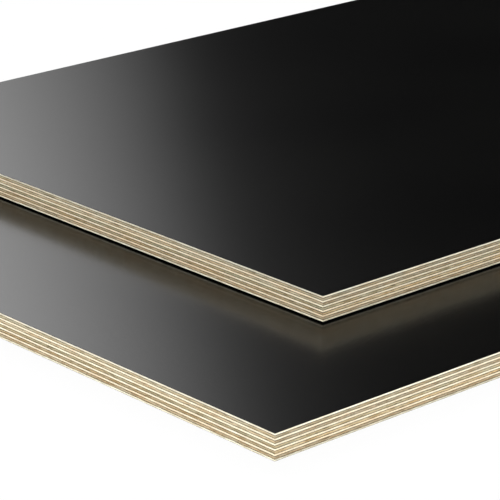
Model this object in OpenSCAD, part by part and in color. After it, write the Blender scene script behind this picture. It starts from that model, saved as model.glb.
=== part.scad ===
// Stack of film-faced plywood: two equal sheets, the upper one set back from the lower one.
// Each sheet is a pressed lay-up of thin pale veneers and thicker brown crossbands between two
// black films. It is sawn to size through all its layers, and then its arrises are broken.
// Millimetres, +Z up. The origin is on the floor, at the middle of the stack's footprint.

/* [Sheet] */
// Width of a sheet, along X
sheet_w = 450; // [200:1:1250]
// Length of a sheet, along Y
sheet_l = 1000; // [300:1:2500]
// Arris broken off at 45 degrees round both faces, measured along each face
arris = 0.1; // [0.05:0.05:0.8]

/* [Lay-up] */
// Thickness of the black film on each face
film_t = 0.15; // [0.1:0.05:0.5]
// Thickness of a pale veneer, with its grain along the sheet
pale_t = 0.9; // [0.7:0.02:2]
// Thickness of a brown crossband veneer, with its grain across the sheet
cross_t = 1.86; // [0.7:0.02:3]
// Number of crossbands, each of them between two pale veneers
cross_n = 5; // [1:1:9]

/* [Stack] */
// How far the upper sheet is set back from the lower one's right edge, along X
set_back_x = 91.5; // [0:0.5:150]
// How far the upper sheet is set back from the lower one's front edge, along Y
set_back_y = 119; // [0:0.5:200]
// Air left under the upper sheet, because faces that are never quite flat meet only at high spots
air_gap = 0.95; // [0:0.05:0.95]

/* [Hidden] */
SHEETS = ["lower", "upper"];
FILM_COLOUR = "#141416";
PALE_COLOUR = "#e9d8b4";
CROSS_COLOUR = "#a8926c";

veneer_n = 2 * cross_n + 1;
pitch = pale_t + cross_t;
sheet_t = 2 * film_t + cross_n * pitch + pale_t;

// The layers of a sheet count up from 0, its bottom film, to veneer_n + 1, its top film
bottom_film = 0;
top_film = veneer_n + 1;
LAYERS = [bottom_film : top_film];

function is_film(layer) = layer == bottom_film || layer == top_film;
function is_cross(layer) = !is_film(layer) && layer % 2 == 0;

function layer_t(layer) = is_film(layer) ? film_t : is_cross(layer) ? cross_t : pale_t;

// Height of a layer's underside above its sheet's underside
function layer_z(layer) = layer == bottom_film ? 0 : layer_z(layer - 1) + layer_t(layer - 1);

// Node names: veneers count up from the lowest one of their sheet
function two_digits(n) = n < 10 ? str("0", n) : str(n);
function layer_name(layer) =
    layer == bottom_film ? "bottom_film" :
    layer == top_film ? "top_film" :
    str(is_cross(layer) ? "crossband_" : "pale_veneer_", two_digits(layer));
function node_name(sheet, layer) = str(sheet, "_", layer_name(layer));

// Section through a sheet of the given span: a flat bar with its four arrises broken
module sheet_section(span) {
    half = span / 2;
    polygon([
        [arris - half, 0], [half - arris, 0],
        [half, arris], [half, sheet_t - arris],
        [half - arris, sheet_t], [arris - half, sheet_t],
        [-half, sheet_t - arris], [-half, arris],
    ]);
}

// A bar of that section, run along Y and centred on it
module sheet_bar(span, run) {
    rotate([90, 0, 0])
        linear_extrude(height = run, center = true)
            sheet_section(span);
}

// The whole sheet as sawn: the two bars, along and across, give all four edges their arrises
module sawn_sheet() {
    intersection() {
        sheet_bar(sheet_w, sheet_l);
        rotate([0, 0, 90]) sheet_bar(sheet_l, sheet_w);
    }
}

// The part of the sawn sheet that lies between the two glue lines of one layer
module sheet_layer(layer) {
    intersection() {
        sawn_sheet();
        translate([-sheet_w / 2, -sheet_l / 2, layer_z(layer)])
            cube([sheet_w, sheet_l, layer_t(layer)]);
    }
}

module film(layer) {
    color(FILM_COLOUR) sheet_layer(layer);
}

module pale_veneer(layer) {
    color(PALE_COLOUR) sheet_layer(layer);
}

module crossband(layer) {
    color(CROSS_COLOUR) sheet_layer(layer);
}

// Each sheet's place in the stack, half the set-back to either side of the origin
module in_stack(sheet) {
    side = sheet == "upper" ? 1 : -1;
    lift = sheet == "upper" ? sheet_t + air_gap : 0;
    translate([-side * set_back_x / 2, side * set_back_y / 2, lift]) children();
}

module layer_of(sheet, layer) {
    in_stack(sheet)
        if (is_film(layer)) film(layer);
        else if (is_cross(layer)) crossband(layer);
        else pale_veneer(layer);
}

for (sheet = SHEETS, layer = LAYERS)
    layer_of(sheet, layer);
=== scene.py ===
"""Looks of a stack of film-faced plywood: two sheets of pale and brown veneers between black films.

Every veneer is a slab of its own with a sawn rim, made by one Geometry Nodes tree that wraps a flat
grid round the sheet. The films keep the shapes of the frame and get a pressed resin finish. The
studio is a pale floor with soft panels, and the camera looks down at the near corner of both sheets.
"""

from __future__ import annotations

import logging
import math
from collections.abc import Mapping, Sequence
from dataclasses import dataclass, field
from enum import Enum
from typing import Any

import bpy
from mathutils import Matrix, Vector

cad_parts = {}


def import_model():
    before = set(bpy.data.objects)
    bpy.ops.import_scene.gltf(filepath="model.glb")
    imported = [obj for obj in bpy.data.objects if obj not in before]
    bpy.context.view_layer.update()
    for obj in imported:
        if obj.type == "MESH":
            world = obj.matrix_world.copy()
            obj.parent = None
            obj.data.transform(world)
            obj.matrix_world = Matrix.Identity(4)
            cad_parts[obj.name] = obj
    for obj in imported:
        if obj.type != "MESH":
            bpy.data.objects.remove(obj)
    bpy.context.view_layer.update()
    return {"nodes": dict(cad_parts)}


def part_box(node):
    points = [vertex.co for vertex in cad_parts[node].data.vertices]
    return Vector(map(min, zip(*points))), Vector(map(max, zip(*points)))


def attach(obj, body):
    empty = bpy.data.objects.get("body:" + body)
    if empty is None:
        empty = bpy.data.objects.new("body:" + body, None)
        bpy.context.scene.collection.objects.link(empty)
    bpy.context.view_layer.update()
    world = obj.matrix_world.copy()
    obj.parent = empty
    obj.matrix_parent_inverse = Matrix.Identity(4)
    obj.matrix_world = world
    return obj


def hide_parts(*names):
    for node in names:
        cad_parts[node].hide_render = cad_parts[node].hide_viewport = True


log = logging.getLogger("plywood_stack")

MM = 0.001
WHITE = (1.0, 1.0, 1.0, 1.0)
NOISE_MIDDLE = 0.5
BODY = "root"
SHEETS = ("lower", "upper")

Colour = tuple[float, float, float]
Triple = tuple[float, float, float]


class Wire:
    """A value that flows out of one node's socket, with the operators that add Math nodes."""

    def __init__(self, graph: Graph, socket: bpy.types.NodeSocket) -> None:
        """Wrap an output socket.

        Args:
            graph: The tree that the socket is in.
            socket: The output that gives the value.
        """
        self.graph = graph
        self.socket = socket

    def __add__(self, other: Feed) -> Wire:
        """Return the sum."""
        return self.graph.maths("ADD", self, other)

    def __radd__(self, other: Feed) -> Wire:
        """Return the sum, with this value on the right."""
        return self.graph.maths("ADD", other, self)

    def __sub__(self, other: Feed) -> Wire:
        """Return the difference."""
        return self.graph.maths("SUBTRACT", self, other)

    def __rsub__(self, other: Feed) -> Wire:
        """Return the difference, with this value on the right."""
        return self.graph.maths("SUBTRACT", other, self)

    def __mul__(self, other: Feed) -> Wire:
        """Return the product."""
        return self.graph.maths("MULTIPLY", self, other)

    def __rmul__(self, other: Feed) -> Wire:
        """Return the product, with this value on the right."""
        return self.graph.maths("MULTIPLY", other, self)

    def __truediv__(self, other: Feed) -> Wire:
        """Return the quotient."""
        return self.graph.maths("DIVIDE", self, other)

    def __rtruediv__(self, other: Feed) -> Wire:
        """Return the quotient, with this value on the right."""
        return self.graph.maths("DIVIDE", other, self)

    def __gt__(self, other: Feed) -> Wire:
        """Return 1 where this value is the greater one, and 0 elsewhere."""
        return self.graph.maths("GREATER_THAN", self, other)

    def __lt__(self, other: Feed) -> Wire:
        """Return 1 where this value is the smaller one, and 0 elsewhere."""
        return self.graph.maths("LESS_THAN", self, other)

    def __abs__(self) -> Wire:
        """Return the size of the value without its sign."""
        return self.graph.maths("ABSOLUTE", self)

    def __floor__(self) -> Wire:
        """Return the whole number below the value."""
        return self.graph.maths("FLOOR", self)

    def sign(self) -> Wire:
        """Return 1, 0 or -1."""
        return self.graph.maths("SIGN", self)

    def least(self, other: Feed) -> Wire:
        """Return the smaller of the two values."""
        return self.graph.maths("MINIMUM", self, other)

    def most(self, other: Feed) -> Wire:
        """Return the greater of the two values."""
        return self.graph.maths("MAXIMUM", self, other)

    def held(self, low: Feed, high: Feed) -> Wire:
        """Return the value held between two others."""
        return self.most(low).least(high)


Feed = Wire | float | int | bool | str | Sequence[float]


@dataclass(frozen=True)
class Grain:
    """The grains of a noise.

    Fields: their size along X, Y and Z in metres, how many finer octaves they have, and how strong
    those are.
    """

    size: Triple
    detail: float = 2.0
    rough: float = 0.5

    @classmethod
    def even(cls, size: float, detail: float = 2.0) -> Grain:
        """Return grains of one size in all directions."""
        return cls((size, size, size), detail)

    @classmethod
    def along_rim(cls, long: float, high: float, detail: float, rough: float = 0.5) -> Grain:
        """Return flat grains, as long on one edge of a sheet as on the others."""
        return cls((long, long, high), detail, rough)


class Graph:
    """A node tree that is being built."""

    MATHS_INPUTS = ("Value", "Value_001")

    def __init__(self, tree: bpy.types.NodeTree) -> None:
        """Start on an empty or partly built tree.

        Args:
            tree: The tree that gets the nodes.
        """
        self.tree = tree

    def node(
        self,
        kind: str,
        sockets: Mapping[str, Feed] | None = None,
        **settings: Any,
    ) -> bpy.types.Node:
        """Add one node.

        Args:
            kind: Blender's name of the node's type.
            sockets: Values or wires for its inputs, by the inputs' identifiers.
            **settings: The node's own properties, which are set first.

        Returns:
            The new node.
        """
        node = self.tree.nodes.new(kind)
        for name, setting in settings.items():
            setattr(node, name, setting)
        inputs = {socket.identifier: socket for socket in node.inputs}
        for name, feed in (sockets or {}).items():
            if isinstance(feed, Wire):
                self.tree.links.new(feed.socket, inputs[name])
            else:
                inputs[name].default_value = feed
        return node

    def wire(
        self,
        kind: str,
        sockets: Mapping[str, Feed] | None = None,
        output: str | None = None,
        **settings: Any,
    ) -> Wire:
        """Add one node and take one of its outputs.

        Args:
            kind: Blender's name of the node's type.
            sockets: Values or wires for its inputs, by the inputs' identifiers.
            output: The identifier of the output, or None for the first one.
            **settings: The node's own properties.

        Returns:
            The chosen output.
        """
        node = self.node(kind, sockets, **settings)
        for socket in node.outputs:
            if output in (None, socket.identifier):
                return Wire(self, socket)
        raise KeyError(f"{kind} has no output {output}")

    def maths(self, operation: str, *feeds: Feed) -> Wire:
        """Add a Math node with its values in order."""
        return self.wire("ShaderNodeMath", dict(zip(self.MATHS_INPUTS, feeds)), operation=operation)

    def vector(self, x: Feed, y: Feed, z: Feed) -> Wire:
        """Join three numbers into a vector."""
        return self.wire("ShaderNodeCombineXYZ", {"X": x, "Y": y, "Z": z})

    def parts(self, vector: Wire) -> tuple[Wire, ...]:
        """Split a vector into its three numbers."""
        node = self.node("ShaderNodeSeparateXYZ", {"Vector": vector})
        return tuple(Wire(self, socket) for socket in node.outputs)

    def stretched(self, vector: Wire, by: Feed) -> Wire:
        """Multiply a vector by another one, part by part."""
        sockets = {"Vector": vector, "Vector_001": by}
        return self.wire("ShaderNodeVectorMath", sockets, operation="MULTIPLY")

    def shifted(self, vector: Wire, by: Feed) -> Wire:
        """Add another vector to a vector."""
        sockets = {"Vector": vector, "Vector_001": by}
        return self.wire("ShaderNodeVectorMath", sockets, operation="ADD")

    def noise(self, at: Wire, grain: Grain) -> Wire:
        """Add smooth noise.

        Args:
            at: Where the noise is read, in metres.
            grain: The size and detail of its grains.

        Returns:
            A value that swings round NOISE_MIDDLE.
        """
        scaled = self.stretched(at, tuple(1.0 / size for size in grain.size))
        sockets = {"Vector": scaled, "Scale": 1.0, "Detail": grain.detail, "Roughness": grain.rough}
        return self.wire("ShaderNodeTexNoise", sockets, output="Fac")

    def ramp(self, value: Feed, start: float, end: float) -> Wire:
        """Ease from 0 to 1 as a value goes from start to end."""
        sockets = {"Value": value, "From Min": start, "From Max": end}
        return self.wire("ShaderNodeMapRange", sockets, interpolation_type="SMOOTHSTEP")

    def blend(self, share: Feed, first: Feed, second: Feed, how: str = "MIX") -> Wire:
        """Mix two colours.

        Args:
            share: How much of the second colour shows, from 0 to 1.
            first: The colour below.
            second: The colour above.
            how: The Mix node's way of blending.

        Returns:
            The mixed colour.
        """
        sockets = {"Factor_Float": share, "A_Color": opaque(first), "B_Color": opaque(second)}
        settings = {"data_type": "RGBA", "blend_type": how}
        return self.wire("ShaderNodeMix", sockets, output="Result_Color", **settings)


def opaque(colour: Feed) -> Feed:
    """Give a plain colour the fourth number that a colour socket takes."""
    return colour if isinstance(colour, Wire) else (*colour, 1.0)


def grey(level: float) -> Colour:
    """Return a colour with three equal parts."""
    return (level, level, level)


def new_material(name: str) -> tuple[bpy.types.Material, Graph]:
    """Make an empty node material.

    Args:
        name: The material's name.

    Returns:
        The material and its graph.
    """
    material = bpy.data.materials.new(name)
    material.use_nodes = True
    material.node_tree.nodes.clear()
    return material, Graph(material.node_tree)


def close_material(graph: Graph, surface: Wire) -> None:
    """Lead a shader into the material's output."""
    graph.node("ShaderNodeOutputMaterial", {"Surface": surface})


def link_object(name: str, data: bpy.types.ID) -> bpy.types.Object:
    """Put a new object into the scene, at the origin.

    Args:
        name: The object's name.
        data: Its mesh, lamp or camera.

    Returns:
        The object.
    """
    made = bpy.data.objects.new(name, data)
    bpy.context.scene.collection.objects.link(made)
    return made


class LayerKind(Enum):
    """What a layer of a sheet is, with the word for it in the frame's node names."""

    FILM = "film"
    PALE = "pale_veneer"
    CROSSBAND = "crossband"

    @classmethod
    def of_node(cls, node: str) -> LayerKind:
        """Return the kind of layer that a node's name gives."""
        return next(kind for kind in cls if kind.value in node)


@dataclass(frozen=True)
class FilmFinish:
    """Black resin film, pressed smooth, with a fine peel and the veneer below it just felt through.

    Fields: its name; the darkest and the lightest black; the middle of the roughness and how far it
    strays; how high its own peel and the veneer's grain stand, in metres; and its refraction.
    """

    CLOUD = Grain.even(0.16, detail=3.0)
    CLOUD_SPAN = (0.3, 0.7)
    VENEER = Grain((0.008, 0.2, 0.008))
    VENEER_SHARE = 0.5
    PEEL = Grain.even(0.003)

    name: str = "black_film"
    deep: Colour = grey(0.0007)
    soft: Colour = (0.0013, 0.0013, 0.0012)
    roughness: float = 0.2
    stray: float = 0.02
    peel: float = 0.015 * MM
    grain: float = 0.006 * MM
    refraction: float = 1.3

    def material(self) -> bpy.types.Material:
        """Make the film's material.

        Returns:
            The material.
        """
        material, graph = new_material(self.name)
        at = graph.wire("ShaderNodeTexCoord", output="Object")
        cloud = graph.noise(at, self.CLOUD)
        veneer = graph.noise(at, self.VENEER)
        uneven = (cloud - NOISE_MIDDLE) + self.VENEER_SHARE * (veneer - NOISE_MIDDLE)
        relief = self.peel * graph.noise(at, self.PEEL) + self.grain * veneer
        bump = {"Height": relief, "Strength": 1.0, "Distance": 1.0}
        sockets = {
            "Base Color": graph.blend(graph.ramp(cloud, *self.CLOUD_SPAN), self.deep, self.soft),
            "Roughness": self.roughness + self.stray * uneven,
            "IOR": self.refraction,
            "Normal": graph.wire("ShaderNodeBump", bump),
        }
        close_material(graph, graph.wire("ShaderNodeBsdfPrincipled", sockets))
        return material


@dataclass(frozen=True)
class VeneerFinish:
    """Bare wood of one kind of veneer, as the saw left its rim.

    A span holds the two values of a noise between which a streak, tint or fleck comes in.

    Fields: its name; the wood's own colour, two tints that it drifts between along the rim, and the
    share of its colour that its dark streaks keep; how light it is on the sheet's long edges, for 1
    on the short ones; how strong its streaks and blotches are; how far the glue's dark resin has
    crept in from either side, as a share of the veneer's thickness, and how much of it and of the
    wood's flecks shows.
    """

    FIBRE = Grain.along_rim(9.0 * MM, 0.4 * MM, detail=4.0, rough=0.85)
    FIBRE_SPAN = (0.43, 0.57)
    BLOTCH = Grain.along_rim(7.0 * MM, 0.8 * MM, detail=3.0, rough=0.6)
    DRIFT = Grain.along_rim(18.0 * MM, 0.9 * MM, detail=3.0, rough=0.65)
    DRIFT_SPAN = (0.41, 0.59)
    FLECK = Grain.along_rim(6.0 * MM, 0.4 * MM, detail=1.0)
    FLECK_SPAN = (0.62, 0.68)
    FACES_SIDEWAYS = 0.7
    GLUE_LINE = 0.08
    RESIN_WAVER = 0.4
    RESIN_SHARE = 0.35
    ROUGHNESS = 0.75
    SPECULAR = 0.25
    FAINT = {
        "kept": (0.67, 0.63, 0.58),
        "streaks": 0.75,
        "blotches": 0.75,
        "resin_reach": 0.16,
        "resin": 0.05,
        "flecks": 0.08,
    }

    name: str
    wood: Colour
    warm: Colour
    cool: Colour
    kept: Colour = (0.46, 0.41, 0.31)
    on_long_edge: float = 1.0
    streaks: float = 0.85
    blotches: float = 0.5
    resin_reach: float = 0.28
    resin: float = 1.0
    flecks: float = 0.7

    @classmethod
    def pale(cls, **fields: Any) -> VeneerFinish:
        """Return a pale veneer, with faint streaks and hardly any resin unless a field says more."""
        return cls(**{**cls.FAINT, **fields})

    def material(self) -> bpy.types.Material:
        """Make the veneer's material, with its pattern on the rim and plain wood at the glue.

        Returns:
            The material.
        """
        material, graph = new_material(self.name)
        at = graph.wire("ShaderNodeTexCoord", output="Object")
        rim = graph.wire("ShaderNodeAttribute", output="Fac", attribute_name=SawnVeneer.RIM)
        blotch = graph.noise(at, self.BLOTCH) - NOISE_MIDDLE
        sawn = self.sawn_wood(graph, at, rim, blotch)
        sockets = {
            "Base Color": graph.blend(self.stained(graph, at, rim, blotch), sawn, self.stain()),
            "Roughness": self.ROUGHNESS,
            "Specular IOR Level": self.SPECULAR,
        }
        close_material(graph, graph.wire("ShaderNodeBsdfPrincipled", sockets))
        return material

    def sawn_wood(self, graph: Graph, at: Wire, rim: Wire, blotch: Wire) -> Wire:
        """Colour the wood, with streaks, blotches and tints on its rim.

        Args:
            graph: The material's graph.
            at: The place on the veneer.
            rim: 1 on the rim, and 0 at the glue.
            blotch: A noise round 0.

        Returns:
            The colour.
        """
        fibre = graph.ramp(graph.noise(at, self.FIBRE), *self.FIBRE_SPAN)
        dark = self.streaks * fibre + self.blotches * blotch
        colour = graph.blend((dark * rim).held(0.0, 1.0), self.wood, self.streak())
        drift = graph.ramp(graph.noise(at, self.DRIFT), *self.DRIFT_SPAN)
        tint = graph.blend(drift, self.cool, self.warm)
        colour = graph.blend(rim, colour, tint, how="MULTIPLY")
        side, _, _ = graph.parts(graph.wire("ShaderNodeNewGeometry", output="True Normal"))
        on_long_edge = (abs(side) > self.FACES_SIDEWAYS) * rim
        return graph.blend(on_long_edge, colour, grey(self.on_long_edge), how="MULTIPLY")

    def stained(self, graph: Graph, at: Wire, rim: Wire, blotch: Wire) -> Wire:
        """Find where resin from the glue lines, and the wood's own flecks, stain the rim.

        Args:
            graph: The material's graph.
            at: The place on the veneer.
            rim: 1 on the rim, and 0 at the glue.
            blotch: A noise round 0, by which the resin's border wavers.

        Returns:
            How much of the stain shows, up to 1.
        """
        height = graph.wire("ShaderNodeAttribute", output="Fac", attribute_name=SawnVeneer.HEIGHT)
        from_glue = height.least(1.0 - height) + self.RESIN_WAVER * blotch
        crept = 1.0 - graph.ramp(from_glue, self.GLUE_LINE, self.resin_reach)
        fleck = graph.ramp(graph.noise(at, self.FLECK), *self.FLECK_SPAN)
        return ((self.resin * crept + self.flecks * fleck) * rim).least(1.0)

    def streak(self) -> Colour:
        """Return the colour of the dark streaks."""
        return tuple(part * share for part, share in zip(self.wood, self.kept))

    def stain(self) -> Colour:
        """Return the colour of resin and flecks, well below the streaks' own."""
        return tuple(self.RESIN_SHARE * part for part in self.streak())


class Tone(Enum):
    """The tones of wood that the lay-up has."""

    FACE = VeneerFinish.pale(
        name="face_veneer",
        wood=(0.80, 0.763, 0.645),
        warm=(1.0, 0.97, 0.92),
        cool=(0.95, 0.98, 0.98),
        on_long_edge=1.2,
    )
    CREAM = VeneerFinish.pale(
        name="cream_veneer",
        wood=(0.92, 0.845, 0.69),
        warm=(1.0, 0.94, 0.86),
        cool=(0.97, 1.0, 0.99),
    )
    IVORY = VeneerFinish.pale(
        name="ivory_veneer",
        wood=(0.93, 0.86, 0.70),
        warm=(1.0, 0.95, 0.87),
        cool=(0.97, 1.0, 0.98),
        on_long_edge=0.92,
    )
    HONEY = VeneerFinish.pale(
        name="honey_veneer",
        wood=(0.885, 0.785, 0.62),
        warm=(1.0, 0.94, 0.84),
        cool=(0.97, 1.0, 0.97),
    )
    BACK = VeneerFinish.pale(
        name="back_veneer",
        wood=(0.90, 0.865, 0.715),
        warm=(1.0, 0.96, 0.90),
        cool=(0.95, 0.98, 0.97),
        kept=(0.44, 0.39, 0.31),
        on_long_edge=0.8,
    )
    GREY_TAN = VeneerFinish(
        name="grey_tan_crossband",
        wood=(0.512, 0.444, 0.315),
        warm=(1.0, 0.93, 0.81),
        cool=(0.91, 0.98, 1.01),
        on_long_edge=0.84,
    )
    ROSE_TAN = VeneerFinish(
        name="rose_tan_crossband",
        wood=(0.591, 0.509, 0.364),
        warm=(1.0, 0.90, 0.79),
        cool=(0.94, 0.98, 0.99),
        on_long_edge=0.74,
    )
    GREEN_TAN = VeneerFinish(
        name="green_tan_crossband",
        wood=(0.443, 0.376, 0.258),
        warm=(1.0, 0.94, 0.79),
        cool=(0.90, 0.99, 0.98),
        on_long_edge=1.18,
    )
    BROWN = VeneerFinish(
        name="brown_crossband",
        wood=(0.467, 0.376, 0.246),
        warm=(1.0, 0.91, 0.76),
        cool=(0.93, 0.98, 0.97),
        on_long_edge=1.36,
    )
    WARM_TAN = VeneerFinish(
        name="warm_tan_crossband",
        wood=(0.513, 0.419, 0.290),
        warm=(1.0, 0.91, 0.78),
        cool=(0.93, 0.98, 0.99),
        on_long_edge=0.91,
    )


@dataclass
class SawnVeneer:
    """The tree that makes one veneer: a flat grid wrapped round the sheet and closed over its faces.

    The grid's long side runs once round the rim. Its rows run from the middle of the lower face, up
    the rim and to the middle of the upper face, so that the slab is closed once its doubles merge.

    Fields: the length of a step along the rim in metres, the rim's rows, and how far the saw tears
    fibres out of the rim in metres; the rows that the rim takes on the bake's map, the share of the
    map that they cover, the gutter beside each row and the margin at the map's sides; and, once it
    is built, the tree and the identifiers of its inputs.
    """

    RIM = "rim"
    HEIGHT = "height"
    MAP = "OFBake"
    SIZES = {
        "Width": "NodeSocketFloat",
        "Length": "NodeSocketFloat",
        "Low": "NodeSocketFloat",
        "High": "NodeSocketFloat",
        "Centre": "NodeSocketVector",
        "Torn": "NodeSocketFloat",
        "Rim Rows": "NodeSocketInt",
        "Seed": "NodeSocketFloat",
        "Wood": "NodeSocketMaterial",
    }
    LONG_TEAR = Grain.along_rim(9.0 * MM, 0.7 * MM, detail=2.0)
    SHORT_TEAR = Grain.along_rim(2.6 * MM, 0.5 * MM, detail=1.0)
    LONG_SHARE = 0.6
    MERGED = 1e-6
    SEED_STEP = 0.37
    SHARP = math.radians(35.0)

    step: float = 1.25 * MM
    rim_rows: int = 5
    torn: float = 0.12 * MM
    map_rows: int = 40
    map_rim_share: float = 0.88
    map_gutter: float = 0.14
    map_margin: float = 0.004
    inputs: dict[str, str] = field(default_factory=dict)
    tree: bpy.types.NodeTree | None = None

    def build(self) -> None:
        """Build the tree once, with named inputs for the sizes of one veneer."""
        self.tree = bpy.data.node_groups.new("sawn_veneer", "GeometryNodeTree")
        graph = Graph(self.tree)
        ends = self.tree.interface
        for name, kind in self.SIZES.items():
            self.inputs[name] = ends.new_socket(name, in_out="INPUT", socket_type=kind).identifier
        way_out = ends.new_socket("Geometry", in_out="OUTPUT", socket_type="NodeSocketGeometry")
        entry = graph.node("NodeGroupInput")
        given = {socket.name: Wire(graph, socket) for socket in entry.outputs if socket.name}
        slab = self.wrapped_grid(graph, given)
        merged = graph.wire("GeometryNodeMergeByDistance", {"Geometry": slab, "Distance": self.MERGED})
        smooth = graph.wire("GeometryNodeSetShadeSmooth", {"Geometry": merged})
        whole = graph.wire("GeometryNodeRealizeInstances", {"Geometry": smooth})
        dressed = graph.wire("GeometryNodeSetMaterial", {"Geometry": whole, "Material": given["Wood"]})
        graph.node("NodeGroupOutput", {way_out.identifier: dressed})

    def wrapped_grid(self, graph: Graph, given: Mapping[str, Wire]) -> Wire:
        """Add the grid and the rule that wraps it round the sheet.

        Args:
            graph: The tree's graph.
            given: The tree's inputs by name.

        Returns:
            The wrapped slab, with its doubles still apart.
        """
        wide, long = given["Width"], given["Length"]
        round_rim = 2.0 * (wide + long)
        rows = given["Rim Rows"] + 2.0
        across = rows - 1.0

        # The counts are cut to whole numbers, so half a vertex more rounds them
        sockets = {
            "Size X": round_rim,
            "Size Y": across,
            "Vertices X": round_rim / self.step + 1.0 + 0.5,
            "Vertices Y": rows + 0.5,
        }
        grid = graph.wire("GeometryNodeMeshGrid", sockets)
        flat_x, flat_y, _ = graph.parts(graph.wire("GeometryNodeInputPosition"))
        along = flat_x + round_rim / 2.0
        row = flat_y + across / 2.0
        height = ((row - 1.0) / (given["Rim Rows"] - 1.0)).held(0.0, 1.0)

        # Only the first and the last row are within half a row of the grid's sides
        in_face = (row < 0.5) + (row > across - 0.5)

        # Once round the outline: each side is a stretch in which one coordinate runs
        x = along.held(0.0, wide) - (along - wide - long).held(0.0, wide) - wide / 2.0
        y = (along - wide).held(0.0, long) - (along - 2.0 * wide - long).held(0.0, long) - long / 2.0
        on_x = abs(x) > wide / 2.0 - self.step / 2.0
        on_y = abs(y) > long / 2.0 - self.step / 2.0
        z = given["Low"] + height * (given["High"] - given["Low"])
        cut = self.torn_out(graph, given, graph.vector(x, y, z))
        rim_x = x - x.sign() * on_x * cut
        rim_y = y - y.sign() * on_y * cut

        # Those two rows close the faces along a ridge line in their middle
        ridge = (long - wide) / 2.0
        slab_x = rim_x * (1.0 - in_face)
        slab_y = rim_y + in_face * (y.held(0.0 - ridge, ridge) - rim_y)

        face_row = graph.wire("GeometryNodeFieldOnDomain", {"Value": row}, domain="FACE")
        on_rim = (face_row > 1.0) * (face_row < across - 1.0)
        mapped = self.bake_map(graph, given, along, height, slab_x, slab_y, face_row, on_rim)
        grid = self.stored(graph, grid, self.MAP, mapped, "FLOAT2", "CORNER")
        grid = self.stored(graph, grid, self.HEIGHT, height, "FLOAT", "POINT")
        grid = self.stored(graph, grid, self.RIM, on_rim, "FLOAT", "FACE")
        place = graph.shifted(graph.vector(slab_x, slab_y, z), given["Centre"])
        return graph.wire("GeometryNodeSetPosition", {"Geometry": grid, "Position": place})

    def torn_out(self, graph: Graph, given: Mapping[str, Wire], at: Wire) -> Wire:
        """Find how far the saw has torn fibres out of the rim at a place.

        Args:
            graph: The tree's graph.
            given: The tree's inputs by name.
            at: The place on the rim before it is torn.

        Returns:
            A depth from 0 up.
        """
        moved = graph.shifted(at, graph.vector(given["Seed"], given["Seed"], 0.0))
        long_tear = graph.noise(moved, self.LONG_TEAR)
        short_tear = graph.noise(moved, self.SHORT_TEAR)
        tear = self.LONG_SHARE * long_tear + (1.0 - self.LONG_SHARE) * short_tear
        return given["Torn"] * tear.held(0.0, 1.0)

    def bake_map(
        self,
        graph: Graph,
        given: Mapping[str, Wire],
        along: Wire,
        height: Wire,
        x: Wire,
        y: Wire,
        face_row: Wire,
        on_rim: Wire,
    ) -> Wire:
        """Lay the rim out in rows over most of a square, with the two faces side by side above it.

        Args:
            graph: The tree's graph.
            given: The tree's inputs by name.
            along: The way round the rim.
            height: The way up the rim, from 0 to 1.
            x: The place across the sheet.
            y: The place along the sheet.
            face_row: The grid's row that a face lies in.
            on_rim: 1 on the rim's faces, and 0 on the two large ones.

        Returns:
            The place on the map.
        """
        row_length = 2.0 * (given["Width"] + given["Length"]) / self.map_rows
        middle = graph.wire("GeometryNodeFieldOnDomain", {"Value": along}, domain="FACE")
        map_row = math.floor(middle / row_length)
        inside = 1.0 - 2.0 * self.map_margin
        rim_u = (along / row_length - map_row) * inside + self.map_margin
        row_rise = self.map_rim_share / self.map_rows
        in_row = height * (1.0 - 2.0 * self.map_gutter) + self.map_gutter
        rim_v = (map_row + in_row) * row_rise
        face_v_span = 1.0 - self.map_rim_share - 2.0 * self.map_margin
        upper = face_row > given["Rim Rows"] * 0.5
        face_u = (y / given["Length"] + 0.5) * (0.5 - 2.0 * self.map_margin)
        face_u = face_u + self.map_margin + 0.5 * upper
        face_v = (x / given["Width"] + 0.5) * face_v_span + (self.map_rim_share + self.map_margin)
        u = face_u + on_rim * (rim_u - face_u)
        v = face_v + on_rim * (rim_v - face_v)
        return graph.vector(u, v, 0.0)

    @staticmethod
    def stored(graph: Graph, geometry: Wire, name: str, value: Wire, kind: str, domain: str) -> Wire:
        """Keep a value on the mesh under a name.

        Args:
            graph: The tree's graph.
            geometry: The mesh that gets the value.
            name: The name it is kept under.
            value: The value.
            kind: The attribute's type.
            domain: What carries it: points, corners or faces.

        Returns:
            The mesh with the value on it.
        """
        sockets = {"Geometry": geometry, "Name": name, "Value": value}
        settings = {"data_type": kind, "domain": domain}
        return graph.wire("GeometryNodeStoreNamedAttribute", sockets, **settings)

    def made(self, name: str, sizes: Mapping[str, Any]) -> bpy.types.Object:
        """Run the tree for one veneer and keep the result as a plain mesh.

        Args:
            name: The piece's name.
            sizes: A value for each of the tree's inputs, by name.

        Returns:
            The finished object, at the origin and with no modifier.
        """
        blank = link_object(f"{name}_blank", bpy.data.meshes.new(f"{name}_blank"))
        modifier = blank.modifiers.new("sawn_veneer", "NODES")
        modifier.node_group = self.tree
        for size, value in sizes.items():
            modifier[self.inputs[size]] = value
        evaluated = blank.evaluated_get(bpy.context.evaluated_depsgraph_get())
        mesh = bpy.data.meshes.new_from_object(evaluated)
        bpy.data.objects.remove(blank)
        mesh.name = name
        mesh.set_sharp_from_angle(angle=self.SHARP)
        return link_object(name, mesh)


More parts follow.
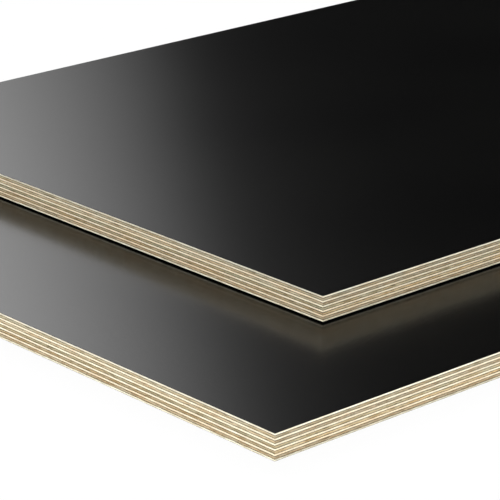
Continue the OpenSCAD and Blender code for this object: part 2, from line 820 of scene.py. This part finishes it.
@dataclass
class PlywoodSheet:
    """One sheet of the stack, with its layers from the frame's nodes and its lay-up from the bottom.

    Fields: the sheet's name, its nodes from the bottom up, and its lowest and highest corners.
    """

    LAY_UP = (
        Tone.BACK,
        Tone.WARM_TAN,
        Tone.HONEY,
        Tone.BROWN,
        Tone.CREAM,
        Tone.GREEN_TAN,
        Tone.IVORY,
        Tone.ROSE_TAN,
        Tone.CREAM,
        Tone.GREY_TAN,
        Tone.FACE,
    )

    name: str
    nodes: list[str]
    low: Vector
    high: Vector

    @classmethod
    def from_frame(cls, name: str, nodes: Mapping[str, bpy.types.Object]) -> PlywoodSheet:
        """Read a sheet from the frame.

        Args:
            name: The word that its nodes' names start with.
            nodes: The frame's nodes.

        Returns:
            The sheet.
        """
        own = [node for node in nodes if node.startswith(f"{name}_")]
        boxes = {node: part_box(node) for node in own}
        own.sort(key=lambda node: boxes[node][0].z)
        low = Vector(min(box[0][axis] for box in boxes.values()) for axis in range(3))
        high = Vector(max(box[1][axis] for box in boxes.values()) for axis in range(3))
        return cls(name, own, low, high)

    def tone(self, node: str) -> Tone:
        """Return the tone of a veneer by its place above the bottom film."""
        return self.LAY_UP[self.nodes.index(node) - 1]

    def make_veneer(self, maker: SawnVeneer, node: str, wood: bpy.types.Material, seed: int) -> None:
        """Make one veneer in place of its plain node.

        Args:
            maker: The tree that makes veneers.
            node: The node that it stands for.
            wood: Its material.
            seed: Its place in the sheet, which shifts its torn fibres.
        """
        low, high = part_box(node)
        kind = LayerKind.of_node(node)
        middle = (self.low + self.high) / 2.0

        # The thicker crossbands tear twice as deep and take one row more
        sizes = {
            "Width": self.high.x - self.low.x,
            "Length": self.high.y - self.low.y,
            "Low": low.z,
            "High": high.z,
            "Centre": (middle.x, middle.y, 0.0),
            "Torn": maker.torn if kind is LayerKind.CROSSBAND else maker.torn / 2.0,
            "Rim Rows": maker.rim_rows + 1 if kind is LayerKind.CROSSBAND else maker.rim_rows,
            "Seed": seed * maker.SEED_STEP,
            "Wood": wood,
        }
        piece = maker.made(f"sawn_{node}", sizes)
        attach(piece, BODY)
        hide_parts(node)
        log.info("%s: %d faces", piece.name, len(piece.data.polygons))

    @staticmethod
    def dress_film(node: bpy.types.Object, film: bpy.types.Material) -> None:
        """Give a film's node its finish.

        Args:
            node: The frame's object.
            film: The film's material.
        """
        node.data.materials.clear()
        node.data.materials.append(film)
        log.info("%s: dressed", node.name)

    def build(
        self,
        nodes: Mapping[str, bpy.types.Object],
        maker: SawnVeneer,
        woods: Mapping[Tone, bpy.types.Material],
        film: bpy.types.Material,
    ) -> None:
        """Make and dress every layer of the sheet.

        Args:
            nodes: The frame's nodes.
            maker: The tree that makes veneers.
            woods: The veneers' materials.
            film: The films' material.
        """
        for place, node in enumerate(self.nodes):
            if LayerKind.of_node(node) is LayerKind.FILM:
                self.dress_film(nodes[node], film)
            else:
                self.make_veneer(maker, node, woods[self.tone(node)], place)


@dataclass(frozen=True)
class SoftPanel:
    """A large soft light that the camera doesn't see.

    Fields: its name, where it stands and the point that it faces, its width and height in metres,
    how bright its face is, and whether it is seen in reflections.
    """

    name: str
    place: Vector
    faces: Vector
    wide: float
    high: float
    glow: float
    reflected: bool = True

    def build(self) -> None:
        """Hang the panel."""
        lamp = bpy.data.lights.new(self.name, "AREA")
        lamp.shape = "RECTANGLE"
        lamp.size, lamp.size_y = self.wide, self.high
        lamp.energy = self.glow * math.pi * self.wide * self.high
        panel = link_object(self.name, lamp)
        panel.location = self.place
        panel.rotation_euler = (self.faces - self.place).to_track_quat("-Z", "Y").to_euler()
        panel.visible_camera = False
        panel.visible_glossy = self.reflected


@dataclass(frozen=True)
class FadingPanel:
    """An upright glowing panel for the films to reflect, dark at its sides and brighter higher up.

    Fields: its name; where the foot of its first side stands, the level way from there to its other
    side, and the level lean of its sides for each metre up; its height and the length over which it
    fades at its sides; and how much brighter it is for each metre up, from nothing at its foot.
    """

    MAP = "panel"

    name: str
    foot: Vector
    across: Vector
    lean: Vector
    high: float
    fade: float
    glow_rise: float

    def build(self) -> None:
        """Stand the panel up, out of the camera's sight and casting no shadow."""
        top = self.foot + self.lean * self.high + Vector((0.0, 0.0, self.high))
        corners = [self.foot, top, top + self.across, self.foot + self.across]
        mesh = bpy.data.meshes.new(self.name)
        mesh.from_pydata([tuple(corner) for corner in corners], [], [(0, 1, 2, 3)])
        wide = self.across.length
        places = [(0.0, 0.0), (0.0, self.high), (wide, self.high), (wide, 0.0)]
        layer = mesh.uv_layers.new(name=self.MAP)
        for corner, place in zip(layer.data, places):
            corner.uv = place
        mesh.materials.append(self.material())
        panel = link_object(self.name, mesh)
        panel.visible_camera = False
        panel.visible_shadow = False

    def material(self) -> bpy.types.Material:
        """Make the glow, which fades towards the sides and comes from one face only.

        Returns:
            The material.
        """
        material, graph = new_material(self.name)
        across, up, _ = graph.parts(graph.wire("ShaderNodeUVMap", uv_map=self.MAP))
        back = graph.wire("ShaderNodeNewGeometry", output="Backfacing")
        inside = across.least(self.across.length - across) / self.fade
        glow = inside.least(1.0) * self.glow_rise * up * (1.0 - back)
        lit = graph.wire("ShaderNodeEmission", {"Color": glow, "Strength": 1.0})
        close_material(graph, lit)
        return material


@dataclass
class Studio:
    """The pale floor, the soft light and the camera.

    The sides are the ways, right and ahead, to the fainter panels that the films reflect.

    Fields: the near top corner of the upper sheet's wood, from which the camera is placed; the
    camera's way from that corner in metres, its turn from the sheets' length, its dip, its lens and
    sensor in millimetres, and the nearest and farthest that it sees; the floor's size, shade and drop
    below the stack, and the share of its look that is its own light; the dark world's glow; and the
    height of the panels that the films reflect.
    """

    SIDES = {"front_glow": (0.0, -1.0), "left_glow": (-1.0, 0.0), "right_glow": (1.0, 0.0)}

    corner: Vector
    from_corner: Triple = (0.96839, -0.92627, 0.50321)
    turn: float = math.radians(47.949)
    dip: float = math.radians(19.594)
    lens: float = 191.89
    sensor: float = 36.0
    nearest: float = 0.01
    farthest: float = 100.0
    floor_side: float = 60.0
    floor_shade: float = 0.48
    floor_drop: float = 0.2 * MM
    floor_own_light: float = 0.93
    world_glow: float = 0.012
    glow_high: float = 2.2

    def build(self) -> None:
        """Set up everything round the stack."""
        self.add_camera()
        self.add_floor()
        self.add_world()
        for panel in [*self.soft_panels(), *self.glowing_panels()]:
            panel.build()
            log.info("%s: hung", panel.name)
        bpy.context.scene.view_settings.view_transform = "Standard"

    def way(self, right: float, ahead: float, up: float = 0.0) -> Vector:
        """Return a way in the room, as the camera sees right and ahead on the level."""
        ahead_x, ahead_y = -math.sin(self.turn), math.cos(self.turn)
        return Vector((right * ahead_y + ahead * ahead_x, ahead * ahead_y - right * ahead_x, up))

    def soft_panels(self) -> list[SoftPanel]:
        """Plan the soft panels, one high in front, one overhead and one high behind.

        Returns:
            The panels.
        """
        ground = Vector((self.corner.x, self.corner.y, 0.0))
        aim = ground + self.way(right=-0.1, ahead=0.2)
        front = SoftPanel(
            name="front_panel",
            place=ground + self.way(right=-0.2, ahead=-2.0, up=1.9),
            faces=aim,
            wide=3.2,
            high=1.8,
            glow=8.6,
            reflected=False,
        )
        overhead = SoftPanel(
            name="overhead_panel",
            place=ground + self.way(right=0.0, ahead=0.3, up=2.8),
            faces=aim,
            wide=2.4,
            high=2.4,
            glow=1.2,
        )
        rear = SoftPanel(
            name="rear_panel",
            place=ground + self.way(right=0.2, ahead=2.6, up=1.9),
            faces=aim,
            wide=3.2,
            high=1.8,
            glow=7.0,
            reflected=False,
        )
        return [front, overhead, rear]

    def glowing_panels(self) -> list[FadingPanel]:
        """Plan the panels that the films reflect, one behind the stack and fainter ones all round.

        Returns:
            The panels.
        """
        behind = FadingPanel(
            name="back_glow",
            foot=self.corner + self.way(right=-0.251, ahead=2.7, up=0.1),
            across=self.way(right=-2.4, ahead=0.0),
            lean=self.way(right=0.203, ahead=0.0),
            high=self.glow_high,
            fade=0.43,
            glow_rise=3.12,
        )
        return [behind, *(self.side_glow(name, *side) for name, side in self.SIDES.items())]

    def side_glow(self, name: str, right: float, ahead: float) -> FadingPanel:
        """Plan a faint panel that faces the stack from one side.

        Args:
            name: The panel's name.
            right: How far to the camera's right the side is, from -1 to 1.
            ahead: How far ahead of the camera the side is, from -1 to 1.

        Returns:
            The panel.
        """
        away, lift, wide, overlap = 3.0, 0.3, 3.35, 0.3
        across = self.way(-ahead, right)
        return FadingPanel(
            name=name,
            foot=self.way(right * away, ahead * away, lift) - across * overlap,
            across=across * wide,
            lean=Vector(),
            high=self.glow_high,
            fade=0.6,
            glow_rise=1.2,
        )

    def add_camera(self) -> None:
        """Place the camera by its way from the near corner."""
        data = bpy.data.cameras.new("camera")
        data.lens, data.sensor_width = self.lens, self.sensor
        data.clip_start, data.clip_end = self.nearest, self.farthest
        camera = link_object("camera", data)
        camera.location = self.corner + Vector(self.from_corner)
        camera.rotation_euler = (math.pi / 2.0 - self.dip, 0.0, self.turn)
        bpy.context.scene.camera = camera

    def add_floor(self) -> None:
        """Lay the pale floor, which takes shadows and shows the camera some light of its own."""
        half = self.floor_side / 2.0
        mesh = bpy.data.meshes.new("floor")
        corners = [(-half, -half), (half, -half), (half, half), (-half, half)]
        mesh.from_pydata([(x, y, -self.floor_drop) for x, y in corners], [], [(0, 1, 2, 3)])
        mesh.materials.append(self.floor_material())
        link_object("floor", mesh)

    def floor_material(self) -> bpy.types.Material:
        """Make the floor's matt shade, with its own light for the camera alone.

        Returns:
            The material.
        """
        material, graph = new_material("pale_floor")
        matt = graph.wire("ShaderNodeBsdfDiffuse", {"Color": opaque(grey(self.floor_shade))})
        lit = graph.wire("ShaderNodeEmission", {"Color": WHITE, "Strength": 1.0})
        seen = graph.wire("ShaderNodeLightPath", output="Is Camera Ray") * self.floor_own_light
        sockets = {"Fac": seen, "Shader": matt, "Shader_001": lit}
        close_material(graph, graph.wire("ShaderNodeMixShader", sockets))
        return material

    def add_world(self) -> None:
        """Set a nearly dark world that the camera sees as white."""
        world = bpy.data.worlds.new("studio")
        world.use_nodes = True
        world.node_tree.nodes.clear()
        graph = Graph(world.node_tree)
        seen = graph.wire("ShaderNodeLightPath", output="Is Camera Ray")
        glow = self.world_glow + (1.0 - self.world_glow) * seen
        sky = graph.wire("ShaderNodeBackground", {"Color": WHITE, "Strength": glow})
        graph.node("ShaderNodeOutputWorld", {"Surface": sky})
        bpy.context.scene.world = world


def main() -> None:
    """Build the sheets and the studio."""
    logging.basicConfig(level=logging.INFO, format="%(name)s %(message)s")
    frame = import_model()
    maker = SawnVeneer()
    maker.build()
    woods = {tone: tone.value.material() for tone in Tone}
    film = FilmFinish().material()
    sheets = [PlywoodSheet.from_frame(name, frame["nodes"]) for name in SHEETS]
    for sheet in sheets:
        sheet.build(frame["nodes"], maker, woods, film)
    upper = sheets[-1]
    wood_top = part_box(upper.nodes[-1])[0].z
    Studio(Vector((upper.high.x, upper.low.y, wood_top))).build()


if __name__ == "__main__":
    main()
